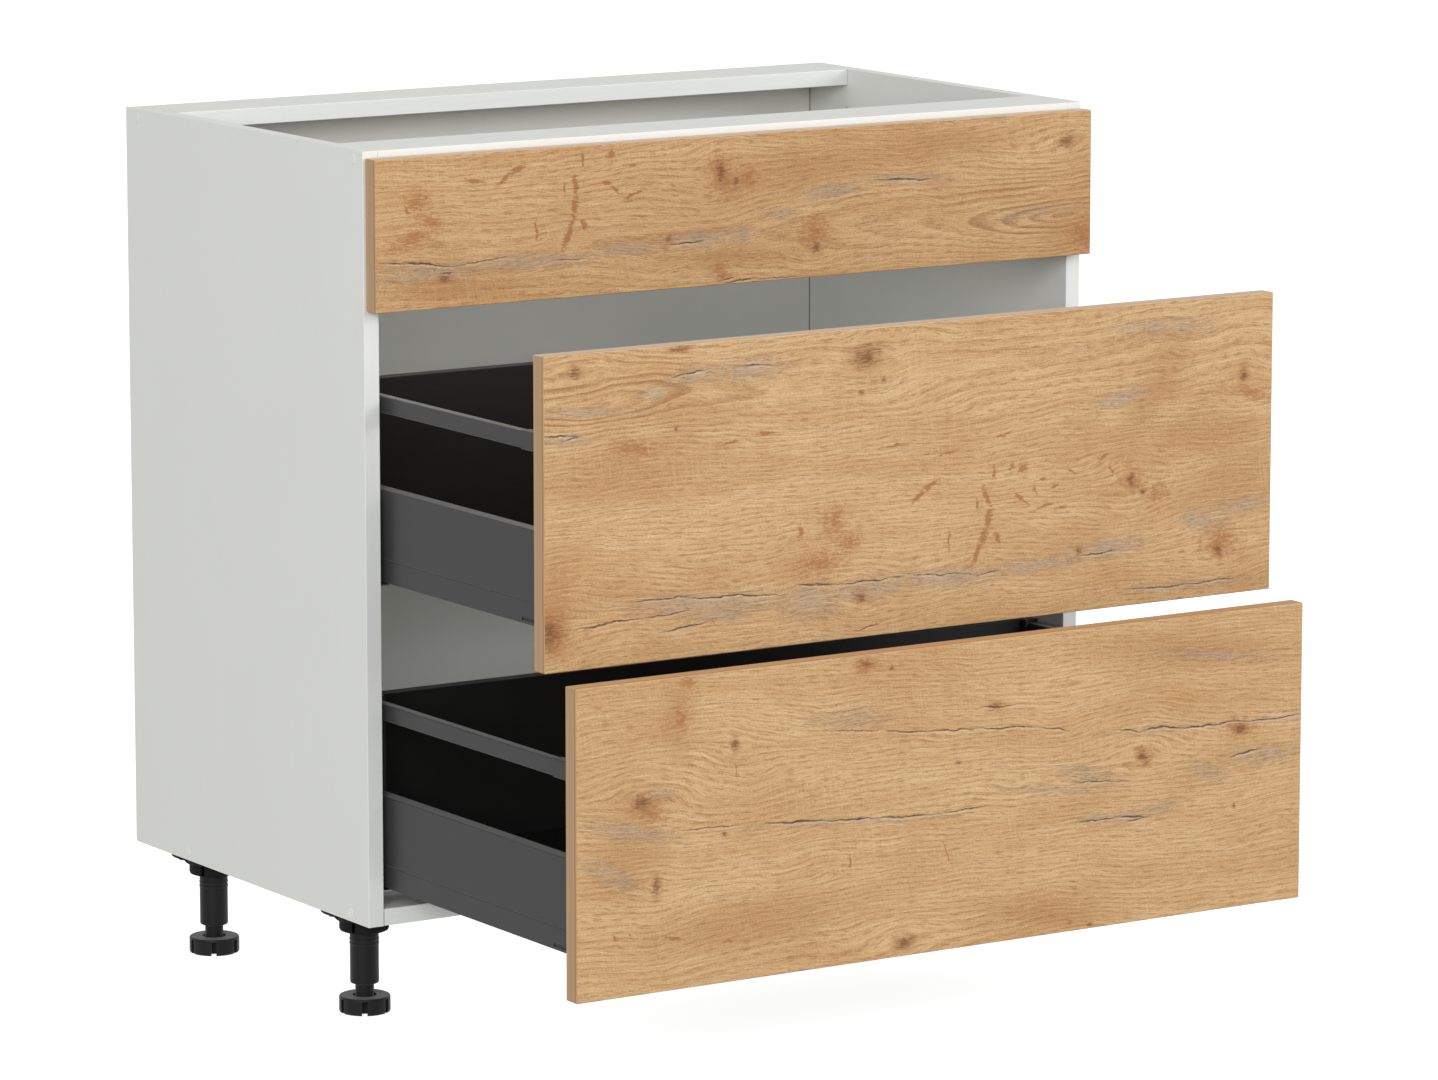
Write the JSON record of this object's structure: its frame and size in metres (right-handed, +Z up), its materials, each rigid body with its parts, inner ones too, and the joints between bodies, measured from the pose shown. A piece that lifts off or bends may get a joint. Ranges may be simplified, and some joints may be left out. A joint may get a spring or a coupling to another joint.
{
  "type": "kitchen base cabinet with drawers",
  "caption": "Kitchen base cabinet on adjustable legs, with a fixed blank top front and deep metal-sided pull-out drawers behind wood-decor fronts; open top for a worktop or hob.",
  "frame": {"origin": "on the floor, at the middle of the plan outline with the drawers pulled out as pictured", "axes": "+Z up, -Y towards the person at the fronts, +X to their right; the wall is at +Y"},
  "size_m": [0.8008, 0.82, 0.82],
  "materials": {
    "carcass_board": "pale grey-white melamine, fine pore",
    "back_board": "pale lacquered hardboard",
    "oak_decor": "matt oak-decor laminate with horizontal grain",
    "cap_plastic": "moulded satin",
    "dowel_wood": "plain beech",
    "leg_plastic": "moulded black, satin",
    "drawer_steel": "anthracite fine powder coat",
    "drawer_fittings": "anthracite moulded satin",
    "drawer_board": "black melamine",
    "zinc_steel": "bright zinc plate"
  },
  "bodies": {
    "carcass": {"back_panel": "back_board", "blank_front": "oak_decor", "blank_front_brackets": "zinc_steel", "blank_front_screws": "zinc_steel", "bottom_panel": "carcass_board", "carcass_dowels": "dowel_wood", "carcass_screws": "zinc_steel", "front_top_rail": "carcass_board", "leg_plate_front_left": "leg_plastic", "leg_plate_front_right": "leg_plastic", "leg_plate_rear_left": "leg_plastic", "leg_plate_rear_right": "leg_plastic", "leg_screws": "zinc_steel", "leg_tube_front_left": "leg_plastic", "leg_tube_front_right": "leg_plastic", "leg_tube_rear_left": "leg_plastic", "leg_tube_rear_right": "leg_plastic", "lower_runner_cabinet_left": "zinc_steel", "lower_runner_cabinet_right": "zinc_steel", "rear_top_rail": "carcass_board", "runner_screws": "zinc_steel", "screw_caps": "cap_plastic", "side_panel_left": "carcass_board", "side_panel_right": "carcass_board", "upper_runner_cabinet_left": "zinc_steel", "upper_runner_cabinet_right": "zinc_steel"},
    "upper_drawer": {"upper_drawer_back": "drawer_board", "upper_drawer_bottom": "drawer_board", "upper_drawer_front": "oak_decor", "upper_drawer_screws": "zinc_steel", "upper_drawer_side_left": "drawer_steel", "upper_drawer_side_right": "drawer_steel", "upper_front_brackets": "zinc_steel", "upper_rail_connectors": "drawer_fittings", "upper_rail_holders": "drawer_fittings", "upper_rail_left": "drawer_steel", "upper_rail_right": "drawer_steel", "upper_runner_drawer_members": "zinc_steel"},
    "upper_runner_middles": {"upper_runner_middle_left": "zinc_steel", "upper_runner_middle_right": "zinc_steel"},
    "lower_drawer": {"lower_drawer_back": "drawer_board", "lower_drawer_bottom": "drawer_board", "lower_drawer_front": "oak_decor", "lower_drawer_screws": "zinc_steel", "lower_drawer_side_left": "drawer_steel", "lower_drawer_side_right": "drawer_steel", "lower_front_brackets": "zinc_steel", "lower_rail_connectors": "drawer_fittings", "lower_rail_holders": "drawer_fittings", "lower_rail_left": "drawer_steel", "lower_rail_right": "drawer_steel", "lower_runner_drawer_members": "zinc_steel"},
    "lower_runner_middles": {"lower_runner_middle_left": "zinc_steel", "lower_runner_middle_right": "zinc_steel"},
    "foot_front_left": {"leg_foot_front_left": "leg_plastic"},
    "foot_front_right": {"leg_foot_front_right": "leg_plastic"},
    "foot_rear_left": {"leg_foot_rear_left": "leg_plastic"},
    "foot_rear_right": {"leg_foot_rear_right": "leg_plastic"}
  },
  "joints": [
    {"name": "upper_drawer_slide", "type": "slide", "parent": "carcass", "child": "upper_drawer", "axis": [0, -1, 0], "range_m": [-0.292, 0.108]},
    {"name": "lower_drawer_slide", "type": "slide", "parent": "carcass", "child": "lower_drawer", "axis": [0, -1, 0], "range_m": [-0.344, 0.056]},
    {"name": "upper_runner_slide", "type": "slide", "parent": "carcass", "child": "upper_runner_middles", "axis": [0, -1, 0], "range_m": [-0.146, 0.054]},
    {"name": "lower_runner_slide", "type": "slide", "parent": "carcass", "child": "lower_runner_middles", "axis": [0, -1, 0], "range_m": [-0.172, 0.028]},
    {"name": "foot_front_left_level", "type": "slide", "parent": "carcass", "child": "foot_front_left", "axis": [0, 0, -1], "range_m": [-0.01, 0.02]},
    {"name": "foot_front_right_level", "type": "slide", "parent": "carcass", "child": "foot_front_right", "axis": [0, 0, -1], "range_m": [-0.01, 0.02]},
    {"name": "foot_rear_left_level", "type": "slide", "parent": "carcass", "child": "foot_rear_left", "axis": [0, 0, -1], "range_m": [-0.01, 0.02]},
    {"name": "foot_rear_right_level", "type": "slide", "parent": "carcass", "child": "foot_rear_right", "axis": [0, 0, -1], "range_m": [-0.01, 0.02]}
  ],
  "couplings": [
    {"joint": "upper_runner_slide", "follows": "upper_drawer_slide", "ratio": 0.5},
    {"joint": "lower_runner_slide", "follows": "lower_drawer_slide", "ratio": 0.5}
  ]
}
